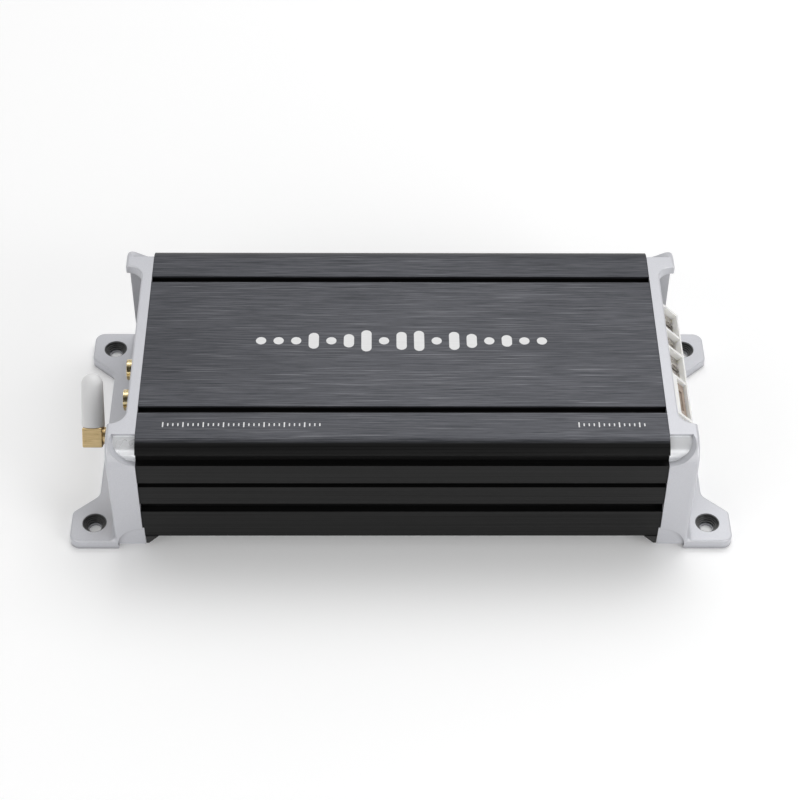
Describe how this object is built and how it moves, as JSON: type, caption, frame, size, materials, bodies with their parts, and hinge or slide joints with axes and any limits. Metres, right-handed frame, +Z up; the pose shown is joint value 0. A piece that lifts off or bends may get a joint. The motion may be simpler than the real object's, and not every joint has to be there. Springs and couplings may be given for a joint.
{
  "type": "car amplifier",
  "caption": "Compact car audio amplifier: black extruded heatsink between silver end caps with drilled ears, signal panel with swivel aerial, clear-covered power terminals.",
  "frame": {"origin": "on the mounting surface, under the middle of the amplifier", "axes": "+X along the extrusion from the signal end to the power end, +Y towards the rear long side, +Z up from the mounting surface"},
  "size_m": [0.2582, 0.1156, 0.0561],
  "materials": {
    "black_anodised": "black anodised, top brushed lengthwise",
    "silver_cap": "die-cast, fine silver paint",
    "black_sheet": "satin black powder coat",
    "panel_black": "fine satin black",
    "screw_black": "black oxide",
    "steel": "zinc plated",
    "grommet_rubber": "matt",
    "gold_plate": "gold plated",
    "brass_elbow": "satin machined",
    "antenna_white": "smooth satin",
    "black_plastic": "fine texture",
    "white_plastic": "satin",
    "red_plastic": "satin",
    "clear_plastic": "clear moulding",
    "nickel_brass": "plated",
    "led_green": "translucent",
    "led_red": "translucent",
    "fuse_amber": "translucent",
    "board_green": "solder mask",
    "ferrite": "matt",
    "copper": "enamelled",
    "capacitor_sleeve": "shrink sleeve",
    "pad_grey": "matt",
    "tin": "tin plated"
  },
  "bodies": {
    "chassis": {"battery_terminal": "nickel_brass", "bluetooth_module": "board_green", "board_screws": "steel", "board_standoffs": "nickel_brass", "bottom_plate": "black_sheet", "bottom_plate_screws": "screw_black", "clamp_bars": "steel", "control_board": "board_green", "end_cap_screws": "screw_black", "fuse_clips": "tin", "ground_terminal": "nickel_brass", "heatsink_shell": "black_anodised", "input_capacitors": "capacitor_sleeve", "input_choke": "ferrite", "input_pins": "tin", "input_socket": "white_plastic", "main_board": "board_green", "mounting_grommets": "grommet_rubber", "output_inductors": "ferrite", "pot_bodies": "black_plastic", "power_block_housing": "clear_plastic", "power_end_cap": "silver_cap", "power_led": "led_green", "power_panel": "panel_black", "power_transistors": "black_plastic", "protect_led": "led_red", "rail_capacitors": "capacitor_sleeve", "rca_contacts": "gold_plate", "rca_housing": "black_plastic", "rca_insulators_red": "red_plastic", "rca_insulators_white": "white_plastic", "rca_shells": "gold_plate", "remote_terminal": "nickel_brass", "signal_end_cap": "silver_cap", "signal_panel": "panel_black", "sma_jack": "gold_plate", "sma_panel_nut": "gold_plate", "speaker_pins": "tin", "speaker_socket": "black_plastic", "switch_bodies": "steel", "thermal_pads": "pad_grey", "transformer_core": "ferrite", "transformer_windings": "copper"},
    "antenna": {"antenna_elbow": "brass_elbow", "antenna_stub": "antenna_white"},
    "coupling_nut": {"antenna_nut": "gold_plate"},
    "front_gain_control": {"front_gain_shaft": "black_plastic"},
    "rear_gain_control": {"rear_gain_shaft": "black_plastic"},
    "front_crossover_control": {"front_crossover_shaft": "black_plastic"},
    "rear_crossover_control": {"rear_crossover_shaft": "black_plastic"},
    "front_filter_switch": {"front_filter_slider": "black_plastic"},
    "rear_filter_switch": {"rear_filter_slider": "black_plastic"},
    "input_mode_switch": {"input_mode_slider": "black_plastic"},
    "battery_pad": {"battery_clamp_pad": "steel"},
    "battery_clamp": {"battery_screw": "steel"},
    "remote_pad": {"remote_clamp_pad": "steel"},
    "remote_clamp": {"remote_screw": "steel"},
    "ground_pad": {"ground_clamp_pad": "steel"},
    "ground_clamp": {"ground_screw": "steel"},
    "blade_fuse": {"fuse": "fuse_amber"}
  },
  "joints": [
    {"name": "antenna_swivel", "type": "hinge", "parent": "chassis", "child": "antenna", "pos_m": [-0.1195, -0.0282, 0.0327], "axis": [1, 0, 0], "continuous": true},
    {"name": "coupling_nut_turn", "type": "hinge", "parent": "chassis", "child": "coupling_nut", "pos_m": [-0.11, -0.0282, 0.0327], "axis": [1, 0, 0], "continuous": true},
    {"name": "front_gain_turn", "type": "hinge", "parent": "chassis", "child": "front_gain_control", "pos_m": [-0.1, 0.034, 0.043], "axis": [1, 0, 0], "range_deg": [-140, 140]},
    {"name": "rear_gain_turn", "type": "hinge", "parent": "chassis", "child": "rear_gain_control", "pos_m": [-0.1, 0.0215, 0.043], "axis": [1, 0, 0], "range_deg": [-140, 140]},
    {"name": "front_crossover_turn", "type": "hinge", "parent": "chassis", "child": "front_crossover_control", "pos_m": [-0.1, 0.034, 0.03], "axis": [1, 0, 0], "range_deg": [-140, 140]},
    {"name": "rear_crossover_turn", "type": "hinge", "parent": "chassis", "child": "rear_crossover_control", "pos_m": [-0.1, 0.0215, 0.03], "axis": [1, 0, 0], "range_deg": [-140, 140]},
    {"name": "front_filter_slide", "type": "slide", "parent": "chassis", "child": "front_filter_switch", "axis": [0, 1, 0], "range_m": [-0.002, 0.002]},
    {"name": "rear_filter_slide", "type": "slide", "parent": "chassis", "child": "rear_filter_switch", "axis": [0, 1, 0], "range_m": [-0.002, 0.002]},
    {"name": "input_mode_slide", "type": "slide", "parent": "chassis", "child": "input_mode_switch", "axis": [0, 1, 0], "range_m": [0, 0.004]},
    {"name": "battery_pad_feed", "type": "slide", "parent": "chassis", "child": "battery_pad", "axis": [-0.7071, 0, -0.7071], "range_m": [0, 0.005]},
    {"name": "battery_screw_turn", "type": "hinge", "parent": "battery_pad", "child": "battery_clamp", "pos_m": [0.109, 0.02895, 0.036], "axis": [-0.7071, 0, -0.7071], "range_deg": [0, 2251]},
    {"name": "remote_pad_feed", "type": "slide", "parent": "chassis", "child": "remote_pad", "axis": [-0.7071, 0, -0.7071], "range_m": [0, 0.006]},
    {"name": "remote_screw_turn", "type": "hinge", "parent": "remote_pad", "child": "remote_clamp", "pos_m": [0.109, 0.01705, 0.036], "axis": [-0.7071, 0, -0.7071], "range_deg": [0, 4321]},
    {"name": "ground_pad_feed", "type": "slide", "parent": "chassis", "child": "ground_pad", "axis": [-0.7071, 0, -0.7071], "range_m": [0, 0.005]},
    {"name": "ground_screw_turn", "type": "hinge", "parent": "ground_pad", "child": "ground_clamp", "pos_m": [0.109, 0.0042, 0.036], "axis": [-0.7071, 0, -0.7071], "range_deg": [0, 2251]},
    {"name": "fuse_pull", "type": "slide", "parent": "chassis", "child": "blade_fuse", "axis": [0.7071, 0, 0.7071], "range_m": [0, 0.01]}
  ],
  "couplings": [
    {"joint": "battery_screw_turn", "follows": "battery_pad_feed", "rad_per_m": 7854},
    {"joint": "remote_screw_turn", "follows": "remote_pad_feed", "rad_per_m": 12566},
    {"joint": "ground_screw_turn", "follows": "ground_pad_feed", "rad_per_m": 7854}
  ]
}
